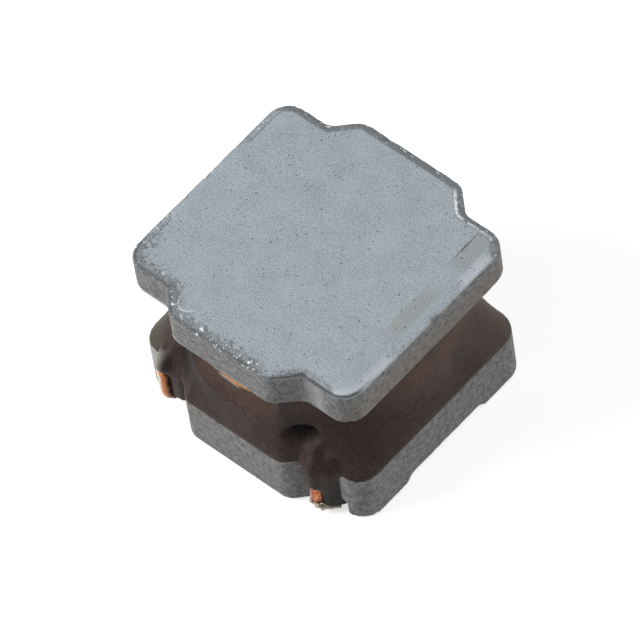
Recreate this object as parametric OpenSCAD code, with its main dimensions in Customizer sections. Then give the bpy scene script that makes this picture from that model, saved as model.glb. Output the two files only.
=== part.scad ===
// Shielded wire-wound SMD power inductor, 6 x 6 mm class.
// A ferrite drum core carries one winding of round enamelled wire. A magnetic resin fills the space
// between the flanges. Both wire ends come down over the same side and are soldered into two
// grooves under the lower flange. Millimetres, +Z up, origin in the middle of the underside.

/* [Core] */
// Width of the core, across either pair of sides
core_w = 6.0; // [5.6:0.1:8]
// Height of the whole part
part_h = 4.33; // [4:0.01:5]
// Distance that the corner sections stand back from the front and rear sides
corner_setback = 0.5; // [0.4:0.01:0.6]
// Plan radius of the four corners
corner_r = 0.5; // [0.3:0.01:0.7]
// Width of the proud middle of the front and rear sides
middle_w = 2.6; // [2:0.05:2.8]
// Thickness of the upper flange
upper_flange_h = 0.88; // [0.7:0.01:1.1]
// Thickness of the lower flange
lower_flange_h = 1.36; // [1.2:0.01:1.5]
// Diameter of the post between the flanges
post_d = 2.7; // [2.2:0.05:2.8]
// Width of the bevel around the upper face
bevel_w = 0.19; // [0.1:0.01:0.3]
// Drop of the bevel around the upper face
bevel_h = 0.07; // [0.03:0.01:0.15]

/* [Underside] */
// Distance from the middle to the centre of each wire groove
groove_x = 2.12; // [2.08:0.01:2.3]
// Width of each wire groove
groove_w = 0.76; // [0.6:0.01:0.8]
// Depth of each wire groove above the terminals' undersides
groove_h = 0.42; // [0.4:0.01:0.55]
// Length of the shallow recess in the middle of the left and right edges
recess_l = 2.1; // [1.5:0.05:2.6]
// Depth of that recess
recess_h = 0.14; // [0.08:0.01:0.2]

/* [Terminals] */
// Distance from the middle to the inner edge of each terminal
terminal_inner_x = 1.55; // [1.3:0.01:1.6]
// Distance that a terminal stays back from the core's outline
terminal_margin = 0.08; // [0.05:0.01:0.15]
// Thickness of the terminal plating
terminal_t = 0.03; // [0.02:0.005:0.05]

/* [Winding] */
// Diameter of the wire with its enamel
wire_d = 0.33; // [0.26:0.01:0.34]
// Number of layers, even so that both ends come out at the lower flange
layer_count = 4; // [2:2:4]
// Clearance between neighbouring wires, and between the wire and the core
wire_gap = 0.014; // [0.01:0.001:0.03]
// Turn over which the wire climbs from one layer to the next
climb_angle = 40; // [30:5:60]
// Distance from the middle to the wire's start, on the right
start_x = 1.93; // [1.92:0.01:2.0]
// Distance from the middle to the wire's finish, on the left
finish_x = 2.27; // [2.1:0.01:2.3]
// Length of wire lying in each groove behind the front edge
tail_l = 3.7; // [2:0.1:4]

/* [Resin] */
// Thickness of the resin over the winding under the upper flange
resin_top_t = 0.13; // [0.08:0.01:0.2]
// Hollowness of the resin's flare, where 1 is straight
resin_flare = 2.2; // [1:0.1:3]
// Thickness of the resin over the wire ends
coat_t = 0.06; // [0.04:0.005:0.1]
// Length of the ridge over each wire end behind the corner sections' sides
ridge_l = 0.4; // [0.3:0.01:0.5]
// Height of the lower edge of the resin in the corner notches
plug_z = 0.15; // [0.1:0.01:0.5]
// Reach of that resin past the wire's start, towards the corner
start_plug_w = 0.35; // [0.1:0.01:0.4]
// Reach of that resin past the wire's finish, towards the corner
finish_plug_w = 0.05; // [0.02:0.01:0.2]
// Width of the bare patch of winding under the upper flange, at the front
window_w = 1.7; // [1.2:0.05:2.2]
// Distance of the bare patch's middle to the left of the middle of the front
window_shift = 0.15; // [0:0.01:0.5]
// Diameter of the pit beside the wire's start
pit_d = 0.5; // [0.2:0.01:0.6]

/* [Hidden] */
$fn = 64;
half_w = core_w / 2;
corner_y = half_w - corner_setback;
step_sum = middle_w / 2 + half_w;
step_x = step_sum - corner_y;
upper_z = part_h - upper_flange_h;
window_h = upper_z - lower_flange_h;
groove_inner_x = groove_x - groove_w / 2;
groove_outer_x = groove_x + groove_w / 2;
over = 0.5;

wire_r = wire_d / 2;
pitch = wire_d + wire_gap;
seat = wire_r + wire_gap;
layer_turns = floor((window_h - 2 * wire_gap - wire_d) / pitch);
coil_low_z = lower_flange_h + seat;
coil_high_z = coil_low_z + layer_turns * pitch;
coil_inner_r = post_d / 2 + seat;
coil_outer_r = coil_inner_r + (layer_count - 1) * pitch;
coil_skin_r = coil_outer_r + wire_r;
lead_y = corner_y + seat;
bend_r = seat + wire_gap;
tail_z = groove_h - terminal_t - seat;
wire_sides = 8;
turn_steps = 24;
bend_steps = 4;

resin_gap = 0.01;
resin_levels = 6;
corner_steps = 6;
window_sink = 0.6;
pit_margin_angle = 2;

// ---- Outline shared by both flanges ----

// One flange, bevelled around its upper face by w and h
module flange(z0, z1, w, h) {
    long_slab = [half_w, corner_y - corner_r];
    wide_slab = [half_w - corner_r, corner_y];
    translate([0, 0, z0]) {
        slab_x(long_slab[0], long_slab[1], z1 - z0, w, h);
        slab_y(wide_slab[0], wide_slab[1], z1 - z0, w, h);
        for (x = [-wide_slab[0], wide_slab[0]], y = [-long_slab[1], long_slab[1]])
            translate([x, y, 0]) bevelled_disc(corner_r, z1 - z0, w, h);
        intersection() {
            slab_y(step_x, half_w, z1 - z0, w, h);
            rotate(45) slab_x(step_sum / sqrt(2), core_w, z1 - z0, w, h);
            rotate(45) slab_y(core_w, step_sum / sqrt(2), z1 - z0, w, h);
        }
    }
}

// Section of a slab that is bevelled at both upper edges
module slab_section(half, height, w, h) {
    polygon([
        [-half, 0], [half, 0], [half, height - h], [half - w, height],
        [w - half, height], [-half, height - h]
    ]);
}

// Slab with its bevelled edges at its left and right ends
module slab_x(half_x, half_y, height, w, h) {
    rotate([90, 0, 0])
        linear_extrude(height = 2 * half_y, center = true) slab_section(half_x, height, w, h);
}

// Slab with its bevelled edges at its front and rear
module slab_y(half_x, half_y, height, w, h) {
    rotate([90, 0, 90])
        linear_extrude(height = 2 * half_x, center = true) slab_section(half_y, height, w, h);
}

module bevelled_disc(r, height, w, h) {
    rotate_extrude()
        polygon([[0, 0], [r, 0], [r, height - h], [r - w, height], [0, height]]);
}

// ---- Core ----

// Space under one side of the lower flange, with every wall moved in by t and every ceiling down by t
module underside_space(t) {
    reach = half_w + over;
    translate([-reach, -reach, -over]) cube([2 * reach, 2 * reach, terminal_t - t + over]);
    translate([groove_inner_x + t, -reach, -over])
        cube([groove_w - 2 * t, 2 * reach, groove_h - t + over]);
    translate([groove_outer_x - t - over / 4, 0, 0])
        rotate([90, 0, 90]) linear_extrude(height = half_w) recess_section(t);
}

// Section of the recess, with ends that slope at 45 degrees
module recess_section(t) {
    ceiling = terminal_t + recess_h - t;
    top_half = recess_l / 2 - t;
    low_half = top_half + ceiling + over;
    polygon([[-low_half, -over], [low_half, -over], [top_half, ceiling], [-top_half, ceiling]]);
}

module drum_core() {
    color("#8d9498") {
        difference() {
            flange(0, lower_flange_h, 0, 0);
            for (side = [0, 1]) mirror([side, 0, 0]) underside_space(0);
        }
        cylinder(h = part_h - upper_flange_h / 2, r = post_d / 2);
        flange(upper_z, part_h, bevel_w, bevel_h);
    }
}

// ---- Wire ----

function unit(v) = v / norm(v);

// Direction of a path at point i
function heading(path, i) =
    unit(path[min(i + 1, len(path) - 1)] - path[max(i - 1, 0)]);

// Vector v with its part along direction t taken away
function square_to(v, t) = unit(v - (v * t) * t);

// Arc of radius r between points a and c around corner b, from its start to its end
function bend(a, b, c, r) =
    let (
        u = unit(a - b), v = unit(c - b),
        half = acos(u * v) / 2,
        centre = b + unit(u + v) * r / sin(half),
        first = (b + u * r / tan(half) - centre) / r,
        last = (b + v * r / tan(half) - centre) / r,
        sweep = 180 - 2 * half
    )
    [for (i = [0 : bend_steps])
        centre + r * (sin(sweep * (1 - i / bend_steps)) * first + sin(sweep * i / bend_steps) * last)
            / sin(sweep)];

// Path of one wire end, from its tangent point on the coil to the far end of its groove
function lead_path(tangent_x, tangent_z, x) =
    let (
        top = [x, -lead_y, coil_low_z],
        low = [x, -lead_y, tail_z],
        tail = [x, tail_l - lead_y, tail_z]
    )
    concat(
        [[tangent_x, 0, tangent_z]],
        bend([tangent_x, 0, tangent_z], top, low, bend_r),
        bend(top, low, tail, bend_r),
        [tail]
    );

// Angle and height at which layer k begins, and the turns in it
function turns_in(k) = k == 0 ? layer_turns : layer_turns - 1;
function begin_angle(k) = k == 0 ? 0 : begin_angle(k - 1) + turns_in(k - 1) * 360 + climb_angle;
function begin_z(k) = k == 0 ? coil_low_z : k % 2 == 1 ? coil_high_z : coil_low_z + pitch;

// Point on the coil, a degrees into layer k; past the layer's end the wire climbs to the next one
function coil_point(k, a) =
    let (
        wound = min(a, turns_in(k) * 360),
        climbed = (a - wound) / climb_angle,
        r = coil_inner_r + (k + climbed) * pitch,
        z = begin_z(k) + (k % 2 == 0 ? 1 : -1) * pitch * wound / 360
    )
    [r * cos(begin_angle(k) + a), r * sin(begin_angle(k) + a), z];

last_layer = layer_count - 1;
finish_turn = (180 - (begin_angle(last_layer) % 360) + 360) % 360;
finish_z = coil_low_z + pitch * (1 - finish_turn / 360);
step_angle = 360 / turn_steps;

// Last layer: it runs on below its whole turns to the side where the finish leaves it
function finish_point(a) =
    [coil_outer_r * cos(begin_angle(last_layer) + a), coil_outer_r * sin(begin_angle(last_layer) + a),
     coil_high_z - pitch * a / 360];

function coil_path() = concat(
    [for (k = [0 : last_layer - 1])
        for (a = [0 : step_angle : turns_in(k) * 360 + climb_angle - 1]) coil_point(k, a)],
    [for (a = [0 : step_angle : turns_in(last_layer) * 360 + finish_turn - 1]) finish_point(a)]
);

function reversed(list) = [for (i = [len(list) - 1 : -1 : 0]) list[i]];
function without_first(list) = [for (i = [1 : len(list) - 1]) list[i]];

start_lead = lead_path(coil_inner_r, coil_low_z, start_x);
finish_lead = lead_path(-coil_outer_r, finish_z, -finish_x);

// Round bar of radius r along a path
module bar(path, r) {
    n = len(path);
    normals = [
        for (i = 0, v = square_to([1, 0.3, 0.2], heading(path, 0)); i < n;
             i = i + 1, v = i < n ? square_to(v, heading(path, i)) : v) v
    ];
    points = [
        for (i = [0 : n - 1]) let (v = normals[i], w = cross(heading(path, i), v))
            for (j = [0 : wire_sides - 1])
                path[i] + r * (cos(j * 360 / wire_sides) * v + sin(j * 360 / wire_sides) * w)
    ];
    polyhedron(points = points, faces = concat(
        wall_faces(n, wire_sides),
        [[for (j = [0 : wire_sides - 1]) j]],
        [[for (j = [wire_sides - 1 : -1 : 0]) (n - 1) * wire_sides + j]]
    ));
}

// Triangles between rings of m points, for n rings one after another
function wall_faces(n, m) = [
    for (i = [0 : n - 2]) for (j = [0 : m - 1])
        let (a = i * m + j, b = i * m + (j + 1) % m)
            each [[a, a + m, b], [b, a + m, b + m]]
];

module winding() {
    color("#b5673a")
        bar(concat(reversed(start_lead), without_first(coil_path()), finish_lead), wire_r);
}

// ---- Resin ----

function arc(centre, r, from, to, steps) =
    [for (i = [0 : steps]) centre + r * [cos(from + (to - from) * i / steps),
                                         sin(from + (to - from) * i / steps)]];

// Quarter of the flange's outline, from the right side round to the rear, without its last point
function quarter() = concat(
    [for (i = [0 : 2]) [half_w, (corner_y - corner_r) * i / 3]],
    arc([half_w - corner_r, corner_y - corner_r], corner_r, 0, 90, corner_steps),
    [[step_x, corner_y], [middle_w / 2, half_w], [middle_w / 4, half_w]]
);

function outline_points() =
    let (q = quarter(), n = len(q))
    concat(
        q,
        [[0, half_w]],
        [for (i = [n - 1 : -1 : 0]) [-q[i][0], q[i][1]]],
        [for (i = [1 : n - 1]) [-q[i][0], -q[i][1]]],
        [[0, -half_w]],
        [for (i = [n - 1 : -1 : 1]) [q[i][0], -q[i][1]]]
    );

// Share of the way from the flange's outline in to the coil, at a fraction t of the resin's height
function flare(t) = 1 - pow(1 - t, resin_flare);

// Filling from the flange's outline at the bottom to a ring around the coil at the top
module flared_fill() {
    outline = outline_points();
    m = len(outline);
    last_ring = resin_levels * m;
    top_r = coil_skin_r + resin_top_t;
    rings = [
        for (i = [0 : resin_levels]) let (t = i / resin_levels) for (p = outline)
            let (q = p + flare(t) * (top_r * unit(p) - p))
                [q[0], q[1], lower_flange_h + t * window_h]
    ];
    bottom_centre = len(rings);
    top_centre = bottom_centre + 1;
    polyhedron(
        points = concat(rings, [[0, 0, lower_flange_h], [0, 0, upper_z]]),
        faces = concat(
            wall_faces(resin_levels + 1, m),
            [for (j = [0 : m - 1]) [bottom_centre, j, (j + 1) % m]],
            [for (j = [0 : m - 1]) [top_centre, last_ring + (j + 1) % m, last_ring + j]]
        )
    );
}

// Resin over a wire end at x and in its corner notch, from the step across the wire and on by w
module notch_plug(x, w) {
    wall_y = corner_setback - half_w;
    root_y = wall_y + ridge_l;
    front_y = -lead_y - wire_r - coat_t;
    coat_x = wire_r + coat_t;
    translate([0, 0, plug_z]) linear_extrude(height = lower_flange_h + coat_t - plug_z)
        polygon([
            [middle_w / 2, wall_y + coat_t], [step_sum - lead_y - coat_t, -lead_y],
            [x - wire_r, front_y], [x + wire_r, front_y],
            [x + wire_r + w, wall_y], [x + wire_r + w, wall_y + coat_t]
        ]);
    translate([x - coat_x, 0, 0]) rotate([90, 0, 90]) linear_extrude(height = 2 * coat_x)
        polygon([
            [front_y, lower_flange_h - coat_t], [front_y, coil_low_z],
            [front_y + wire_r, coil_low_z + coat_x], [root_y, coil_low_z + coat_x],
            [root_y, lower_flange_h - coat_t]
        ]);
}

module resin_fill() {
    pit_angle = atan2(-lead_y, start_x) - asin((wire_r + coat_t) / coil_skin_r) - pit_margin_angle;
    window_r = window_w / 2 / sqrt(1 - pow(window_sink, 2));
    color("#4a3f3b") difference() {
        union() {
            flared_fill();
            difference() {
                union() {
                    notch_plug(start_x, start_plug_w);
                    mirror([1, 0, 0]) notch_plug(finish_x, finish_plug_w);
                }
                flange(-over, lower_flange_h, 0, 0);
            }
        }
        cylinder(h = part_h, r = coil_skin_r + resin_gap);
        lead_channel(start_lead);
        lead_channel(finish_lead);
        translate([-window_shift, -coil_skin_r - window_sink * window_r, upper_z])
            sphere(r = window_r);
        rotate(pit_angle) translate([coil_skin_r + pit_d / 2, 0, coil_low_z + pitch])
            sphere(d = pit_d);
    }
}

// Room for a wire end in the resin
module lead_channel(path) {
    bar(path, wire_r + resin_gap);
}

// ---- Terminals ----

// Outline of the right terminal, whose outer corners follow those of the core
module terminal_outline() {
    r = corner_r - terminal_margin;
    outer = [half_w - terminal_margin, corner_y - terminal_margin];
    translate([terminal_inner_x, r - outer[1]])
        square([outer[0] - terminal_inner_x, 2 * (outer[1] - r)]);
    translate([terminal_inner_x, -outer[1]])
        square([outer[0] - r - terminal_inner_x, 2 * outer[1]]);
    for (side = [-1, 1]) translate([outer[0] - r, side * (outer[1] - r)]) circle(r);
}

// Plated strip under the right side, which lines the groove and the recess
module terminal() {
    color("#c9cacb") difference() {
        intersection() {
            underside_space(0);
            linear_extrude(height = groove_h) terminal_outline();
        }
        underside_space(terminal_t);
    }
}

module terminal_left() { mirror([1, 0, 0]) terminal(); }
module terminal_right() { terminal(); }

// Solder that fills a groove around the wire end at x
module solder(side, x) {
    color("#b3b5b6") difference() {
        translate([side * groove_x, 0, groove_h / 2])
            cube([groove_w - 2 * terminal_t - 2 * resin_gap, 2 * (corner_y - 2 * terminal_margin),
                  groove_h - 2 * terminal_t], center = true);
        translate([x, tail_l - lead_y, tail_z])
            rotate([90, 0, 0]) cylinder(h = core_w, r = wire_r + resin_gap);
    }
}

module solder_left() { solder(-1, -finish_x); }
module solder_right() { solder(1, start_x); }

drum_core();
winding();
resin_fill();
terminal_left();
terminal_right();
solder_left();
solder_right();
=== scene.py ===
import math
import random
from types import SimpleNamespace

import bpy
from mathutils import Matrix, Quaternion, Vector, noise


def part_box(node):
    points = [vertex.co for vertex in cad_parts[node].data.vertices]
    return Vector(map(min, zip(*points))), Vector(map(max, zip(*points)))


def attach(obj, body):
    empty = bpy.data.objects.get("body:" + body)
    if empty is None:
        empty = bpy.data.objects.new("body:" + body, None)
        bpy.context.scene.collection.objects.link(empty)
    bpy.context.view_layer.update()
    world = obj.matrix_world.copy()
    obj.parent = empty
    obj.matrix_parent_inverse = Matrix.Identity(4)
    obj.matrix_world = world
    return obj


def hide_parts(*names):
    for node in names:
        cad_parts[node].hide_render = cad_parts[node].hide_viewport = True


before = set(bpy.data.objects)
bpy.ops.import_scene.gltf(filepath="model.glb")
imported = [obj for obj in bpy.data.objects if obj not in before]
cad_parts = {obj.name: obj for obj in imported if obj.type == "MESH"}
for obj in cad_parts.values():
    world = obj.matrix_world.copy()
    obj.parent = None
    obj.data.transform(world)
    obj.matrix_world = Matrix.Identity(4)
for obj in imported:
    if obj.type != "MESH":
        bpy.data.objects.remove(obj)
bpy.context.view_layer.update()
mm = 0.001


# small helpers

def deselectAll():
    if bpy.context.object and bpy.context.object.mode != "OBJECT":
        bpy.ops.object.mode_set(mode="OBJECT")
    bpy.ops.object.select_all(action="DESELECT")


def makeActive(obj):
    deselectAll()
    obj.select_set(True)
    bpy.context.view_layer.objects.active = obj


def editMode(selectMode="FACE"):
    bpy.ops.object.mode_set(mode="EDIT")
    bpy.ops.mesh.select_mode(type=selectMode)
    bpy.ops.mesh.select_all(action="DESELECT")
    bpy.ops.object.mode_set(mode="OBJECT")


def pickFaces(obj, test):
    # selects the faces whose middle and normal pass the test, and goes to edit mode
    editMode("FACE")
    for face in obj.data.polygons:
        face.select = test(face.center, face.normal)
    bpy.ops.object.mode_set(mode="EDIT")


def pickEdges(obj, test):
    # selects the edges whose two ends pass the test, and goes to edit mode
    editMode("EDGE")
    points = obj.data.vertices
    for edge in obj.data.edges:
        edge.select = test(points[edge.vertices[0]].co, points[edge.vertices[1]].co)
    bpy.ops.object.mode_set(mode="EDIT")


def backToObject():
    bpy.ops.object.mode_set(mode="OBJECT")


def applyPlace(obj):
    makeActive(obj)
    bpy.ops.object.transform_apply(location=True, rotation=True, scale=True)


def applyAll(obj):
    makeActive(obj)
    for modifier in list(obj.modifiers):
        bpy.ops.object.modifier_apply(modifier=modifier.name)


def addBox(name, low, high):
    deselectAll()
    middle = [(a + b) / 2 for a, b in zip(low, high)]
    bpy.ops.mesh.primitive_cube_add(size=1, location=middle)
    box = bpy.context.object
    box.name = name
    box.scale = [b - a for a, b in zip(low, high)]
    applyPlace(box)
    return box


def cutAway(obj, cutter):
    cut = obj.modifiers.new("cut", "BOOLEAN")
    cut.operation = "DIFFERENCE"
    cut.solver = "EXACT"
    cut.object = cutter
    applyAll(obj)
    bpy.data.objects.remove(cutter, do_unlink=True)


def joinAll(name, parts):
    makeActive(parts[0])
    for part in parts:
        part.select_set(True)
    bpy.ops.object.join()
    parts[0].name = name
    return parts[0]


def fuse(obj, voxelSize, smoothTurns):
    remesh = obj.modifiers.new("fuse", "REMESH")
    remesh.mode = "VOXEL"
    remesh.voxel_size = voxelSize
    remesh.use_smooth_shade = True
    smooth = obj.modifiers.new("soften", "SMOOTH")
    smooth.factor = 0.5
    smooth.iterations = smoothTurns
    applyAll(obj)


def dress(obj, material):
    makeActive(obj)
    bpy.ops.object.shade_smooth()
    obj.data.materials.clear()
    obj.data.materials.append(material)


def smoothStep(low, high, value):
    t = min(max((value - low) / (high - low), 0.0), 1.0)
    return t * t * (3 - 2 * t)


def addNode(tree, kind, **values):
    node = tree.nodes.new(kind)
    for key, value in values.items():
        if hasattr(node, key):
            setattr(node, key, value)
        else:
            node.inputs[key.replace("_", " ")].default_value = value
    return node


def newMaterial(name):
    material = bpy.data.materials.new(name)
    material.use_nodes = True
    tree = material.node_tree
    tree.nodes.clear()
    output = tree.nodes.new("ShaderNodeOutputMaterial")
    shader = tree.nodes.new("ShaderNodeBsdfPrincipled")
    tree.links.new(shader.outputs[0], output.inputs[0])
    return material, tree, shader


def scaledCoordinates(tree):
    # Object coordinates in millimetres
    coordinates = addNode(tree, "ShaderNodeTexCoord")
    mapping = addNode(tree, "ShaderNodeMapping")
    mapping.inputs["Scale"].default_value = (1 / mm, 1 / mm, 1 / mm)
    tree.links.new(coordinates.outputs["Object"], mapping.inputs["Vector"])
    return mapping.outputs["Vector"]


def attributeValue(tree, name):
    return addNode(tree, "ShaderNodeAttribute", attribute_name=name).outputs["Fac"]


# the helpers below add their nodes to the tree of the socket or shader that they are given

def splitAxes(place):
    tree = place.id_data
    split = addNode(tree, "ShaderNodeSeparateXYZ")
    tree.links.new(place, split.inputs[0])
    return split.outputs


def noiseValue(place, scale, detail, roughness=0.5):
    tree = place.id_data
    texture = addNode(tree, "ShaderNodeTexNoise")
    texture.inputs["Scale"].default_value = scale
    texture.inputs["Detail"].default_value = detail
    texture.inputs["Roughness"].default_value = roughness
    tree.links.new(place, texture.inputs["Vector"])
    return texture.outputs["Fac"]


def remapValue(value, low, high, outLow=0.0, outHigh=1.0):
    tree = value.id_data
    remap = addNode(tree, "ShaderNodeMapRange")
    remap.inputs["From Min"].default_value = low
    remap.inputs["From Max"].default_value = high
    remap.inputs["To Min"].default_value = outLow
    remap.inputs["To Max"].default_value = outHigh
    tree.links.new(value, remap.inputs["Value"])
    return remap.outputs["Result"]


def mathValue(operation, first, second=None):
    tree = (second if isinstance(first, (int, float)) else first).id_data
    node = addNode(tree, "ShaderNodeMath", operation=operation)
    for socket, value in zip(node.inputs, (first, second)):
        if value is None:
            continue
        if isinstance(value, (int, float)):
            socket.default_value = value
        else:
            tree.links.new(value, socket)
    return node.outputs[0]


def plus(first, second):
    return mathValue("ADD", first, second)


def minus(first, second):
    return mathValue("SUBTRACT", first, second)


def times(first, *others):
    for other in others:
        first = mathValue("MULTIPLY", first, other)
    return first


def most(first, *others):
    for other in others:
        first = mathValue("MAXIMUM", first, other)
    return first


def weighted(first, second, share):
    # the first value has the given share of the sum, and the second has the rest
    return plus(times(first, share), times(second, 1 - share))


def lengthOf(x, y):
    return mathValue("SQRT", plus(times(x, x), times(y, y)))


def bandAround(value, middle, reach):
    # 1 at the middle value, 0 beyond the reach to either side
    off = mathValue("ABSOLUTE", minus(value, middle))
    return remapValue(off, reach, reach * 0.3)


def spanBetween(value, low, high, soft):
    # 1 between the low and the high value, with soft ends
    return mathValue("MINIMUM", remapValue(value, low, low + soft), remapValue(value, high, high - soft))


def mixValue(factor, first, second):
    tree = factor.id_data
    node = addNode(tree, "ShaderNodeMix", data_type="FLOAT")
    tree.links.new(factor, node.inputs[0])
    node.inputs[2].default_value = first
    node.inputs[3].default_value = second
    return node.outputs[0]


def mixColour(factor, first, second):
    tree = factor.id_data
    node = addNode(tree, "ShaderNodeMix", data_type="RGBA")
    for socket, value in ((node.inputs[0], factor), (node.inputs[6], first), (node.inputs[7], second)):
        if isinstance(value, tuple):
            socket.default_value = (*value, 1.0)
        else:
            tree.links.new(value, socket)
    return node.outputs[2]


def bumpFrom(shader, height, distance, strength=1.0):
    tree = shader.id_data
    bump = addNode(tree, "ShaderNodeBump")
    bump.inputs["Distance"].default_value = distance
    bump.inputs["Strength"].default_value = strength
    tree.links.new(height, bump.inputs["Height"])
    tree.links.new(bump.outputs["Normal"], shader.inputs["Normal"])


def linear(red, green, blue):
    # a colour given as it looks on screen, 0 to 255
    return tuple((c / 255 / 12.92) if c <= 10 else ((c / 255 + 0.055) / 1.055) ** 2.4
                 for c in (red, green, blue))


# drum core

core = {
    "cornerSetback": 0.5 * mm,
    "cornerRadius": 0.5 * mm,
    "middleWidth": 2.6 * mm,
    "upperThickness": 0.88 * mm,
    "lowerThickness": 1.36 * mm,
    "postRadius": 1.35 * mm,
    "stepRounding": 0.14 * mm,
    "bevelWidth": 0.19 * mm,
    "bevelDrop": 0.07 * mm,
    "upperRounding": 0.03 * mm,
    "lowerRounding": 0.09 * mm,
    "grooveX": 2.12 * mm,
    "grooveWidth": 0.76 * mm,
    "grooveDepth": 0.42 * mm,
    "plating": 0.03 * mm,
    "recessLength": 2.1 * mm,
    "recessDepth": 0.14 * mm,
    "upperVoxel": 0.034 * mm,
    "lowerVoxel": 0.042 * mm,
    "unevenness": 0.005 * mm,
    "edgeUnevenness": 2.2,
    "chipCount": 36,
    "chipRadius": (0.05, 0.14),
    "chipShare": (0.3, 1),
    "chipDepth": 0.02 * mm,
    "seed": 11,
}
coreHigh = Vector(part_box("drum_core")[1])
halfWidth = coreHigh.x
cornerY = halfWidth - core["cornerSetback"]
stepX = core["middleWidth"] / 2 + core["cornerSetback"]
topZ = coreHigh.z
upperZ = topZ - core["upperThickness"]
lowerZ = core["lowerThickness"]


def makeFlange(name, low, high, roundingWidth, bevelWidth=0.0, bevelDrop=0.0):
    flange = addBox(name, (-halfWidth, -cornerY, low), (halfWidth, cornerY, high - bevelDrop))
    middle = (low + high - bevelDrop) / 2
    pickEdges(flange, lambda a, b: abs(a.z - b.z) > 0.1 * mm)
    bpy.ops.mesh.bevel(offset=core["cornerRadius"], segments=10, affect="EDGES")
    bpy.ops.mesh.select_all(action="SELECT")
    bpy.ops.mesh.bisect(plane_co=(stepX, 0, 0), plane_no=(1, 0, 0))
    bpy.ops.mesh.select_all(action="SELECT")
    bpy.ops.mesh.bisect(plane_co=(-stepX, 0, 0), plane_no=(1, 0, 0))
    for side in (-1, 1):  # the proud middle of the front and the rear, with slanting ends
        pickFaces(flange, lambda c, n: n.y * side > 0.99 and abs(c.x) < stepX / 2)
        bpy.ops.mesh.extrude_region_move(
            TRANSFORM_OT_translate={"value": (0, side * core["cornerSetback"], 0)})
        bpy.ops.transform.resize(
            value=(core["middleWidth"] / 2 / stepX, 1, 1), center_override=(0, 0, middle))
    pickEdges(flange, lambda a, b: (abs(a.z - b.z) > 0.1 * mm and abs(a.x) < stepX + 0.05 * mm
                                    and abs(a.y) > cornerY - 0.05 * mm))
    bpy.ops.mesh.bevel(offset=core["stepRounding"], segments=6, affect="EDGES")
    if bevelDrop:
        pickFaces(flange, lambda c, n: n.z > 0.99)
        bpy.ops.mesh.inset(thickness=bevelWidth, use_boundary=True)
        bpy.ops.transform.translate(value=(0, 0, bevelDrop))
    backToObject()
    rounding = flange.modifiers.new("rounding", "BEVEL")
    rounding.width = roundingWidth
    rounding.segments = 3
    rounding.limit_method = "ANGLE"
    rounding.angle_limit = math.radians(30)
    applyAll(flange)
    return flange


def cutUnderside(flange):
    reach, below = 2 * halfWidth, -mm
    grooveInner = core["grooveX"] - core["grooveWidth"] / 2
    grooveOuter = core["grooveX"] + core["grooveWidth"] / 2
    recessTop = core["plating"] + core["recessDepth"]
    for side in (-1, 1):
        ends = sorted((side * grooveInner, side * grooveOuter))
        cutAway(flange, addBox("groove", (ends[0], -reach, below), (ends[1], reach, core["grooveDepth"])))
        ends = sorted((side * (grooveOuter - 0.1 * mm), side * reach))
        recess = addBox("recess", (ends[0], -core["recessLength"] / 2, below),
                        (ends[1], core["recessLength"] / 2, recessTop))
        spread = 1 + 2 * (recessTop - below) / core["recessLength"]
        pickFaces(recess, lambda c, n: n.z < -0.99)
        bpy.ops.transform.resize(value=(1, spread, 1), center_override=(0, 0, below))
        backToObject()
        cutAway(flange, recess)
    cutAway(flange, addBox("platingRoom", (-reach, -reach, below), (reach, reach, core["plating"])))


def edgeCloseness(normal):
    # 0 where the surface faces squarely along an axis or a step, 1 where it turns round an edge
    slanted = (abs(normal.x) + abs(normal.y)) / math.sqrt(2)
    flat = max(abs(normal.x), abs(normal.y), abs(normal.z), slanted)
    return smoothStep(0.01, 0.12, 1 - flat)


def wearCore(obj):
    # an uneven pressed surface, small chips along the edges, and a map of the edges for the finish
    random.seed(core["seed"])
    points = obj.data.vertices
    edgePoints = [v.co.copy() for v in points if edgeCloseness(v.normal) > 0.8 and v.co.z > 0.2 * mm]
    chips = [(random.choice(edgePoints), random.uniform(*core["chipRadius"]) * mm,
              random.uniform(*core["chipShare"])) for index in range(core["chipCount"])]
    wear = obj.data.color_attributes.new("wear", "FLOAT_COLOR", "POINT")
    newPlaces = []
    for vertex in points:
        place, normal = vertex.co, vertex.normal
        close = edgeCloseness(normal)
        rough = core["unevenness"] * (0.25 + core["edgeUnevenness"] * close)
        uneven = noise.fractal(place / mm * 2.3, 1.0, 2.0, 4) * rough
        chipped = 0.0
        for centre, radius, depth in chips:
            if abs(place.x - centre.x) < radius and (place - centre).length < radius:
                inside = 1 - (place - centre).length / radius
                chipped = max(chipped, depth * smoothStep(0, 1, inside))
        newPlaces.append(place + normal * (min(uneven, 0) - chipped * core["chipDepth"]))
        wear.data[vertex.index].color = (close, chipped, 0, 1)
    for vertex, place in zip(points, newPlaces):
        vertex.co = place


def finishCore(obj, voxel, smoothTurns, material):
    fuse(obj, voxel, smoothTurns)
    wearCore(obj)
    dress(obj, material)
    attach(obj, "root")
    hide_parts("drum_core")
    print(obj.name, len(obj.data.polygons), "faces")


def makeCore():
    material = ferriteMaterial()
    upper = makeFlange("upperFlange", upperZ, topZ, core["upperRounding"],
                       core["bevelWidth"], core["bevelDrop"])
    finishCore(upper, core["upperVoxel"], 1, material)
    lower = makeFlange("lower", 0, lowerZ, core["lowerRounding"])
    cutUnderside(lower)
    deselectAll()
    bpy.ops.mesh.primitive_cylinder_add(
        vertices=64, radius=core["postRadius"], depth=upperZ - lowerZ + 0.2 * mm,
        location=(0, 0, (upperZ + lowerZ) / 2 - 0.1 * mm))
    post = bpy.context.object
    applyPlace(post)
    finishCore(joinAll("lowerFlange", [lower, post]), core["lowerVoxel"], 4, material)


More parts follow.
